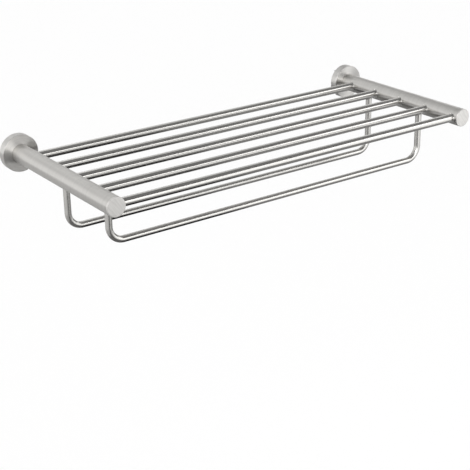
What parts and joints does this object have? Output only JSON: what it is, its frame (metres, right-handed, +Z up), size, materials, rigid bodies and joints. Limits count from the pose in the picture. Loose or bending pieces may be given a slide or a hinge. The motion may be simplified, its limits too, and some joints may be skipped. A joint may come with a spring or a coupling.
{
  "type": "towel rack with shelf",
  "caption": "Wall-mounted stainless steel towel rack with a shelf of round bars between two thick arms and U-shaped towel rods below.",
  "frame": {"origin": "on the wall plane, midway between the two arms, at the height of their axes", "axes": "+X along the shelf to its right end, +Y into the wall, +Z up"},
  "size_m": [0.61, 0.278, 0.1155],
  "materials": {
    "arm_steel": "satin, ground round the tube",
    "cap_steel": "satin, short brush lines leaning to one side",
    "flange_steel": "satin, turned in circles",
    "bar_steel": "bright, fine lines round the bar",
    "rod_steel": "bright, fine lines round the rod",
    "weld_steel": "bright, dressed weld",
    "bracket_steel": "plain turned steel",
    "screw_steel": "plain steel with threads",
    "grub_steel": "dark steel"
  },
  "bodies": {
    "root": {"arm_end_cap_left": "cap_steel", "arm_end_cap_right": "cap_steel", "arm_tube_left": "arm_steel", "arm_tube_right": "arm_steel", "flange_weld_left": "weld_steel", "flange_weld_right": "weld_steel", "grub_screw_left": "grub_steel", "grub_screw_right": "grub_steel", "rod_welds_front": "weld_steel", "rod_welds_rear": "weld_steel", "shelf_bar_1": "bar_steel", "shelf_bar_2": "bar_steel", "shelf_bar_3": "bar_steel", "shelf_bar_4": "bar_steel", "shelf_bar_5": "bar_steel", "shelf_welds_left": "weld_steel", "shelf_welds_right": "weld_steel", "towel_rod_front": "rod_steel", "towel_rod_rear": "rod_steel", "wall_bracket_left": "bracket_steel", "wall_bracket_right": "bracket_steel", "wall_flange_left": "flange_steel", "wall_flange_right": "flange_steel", "wall_screws_left": "screw_steel", "wall_screws_right": "screw_steel"}
  },
  "joints": []
}
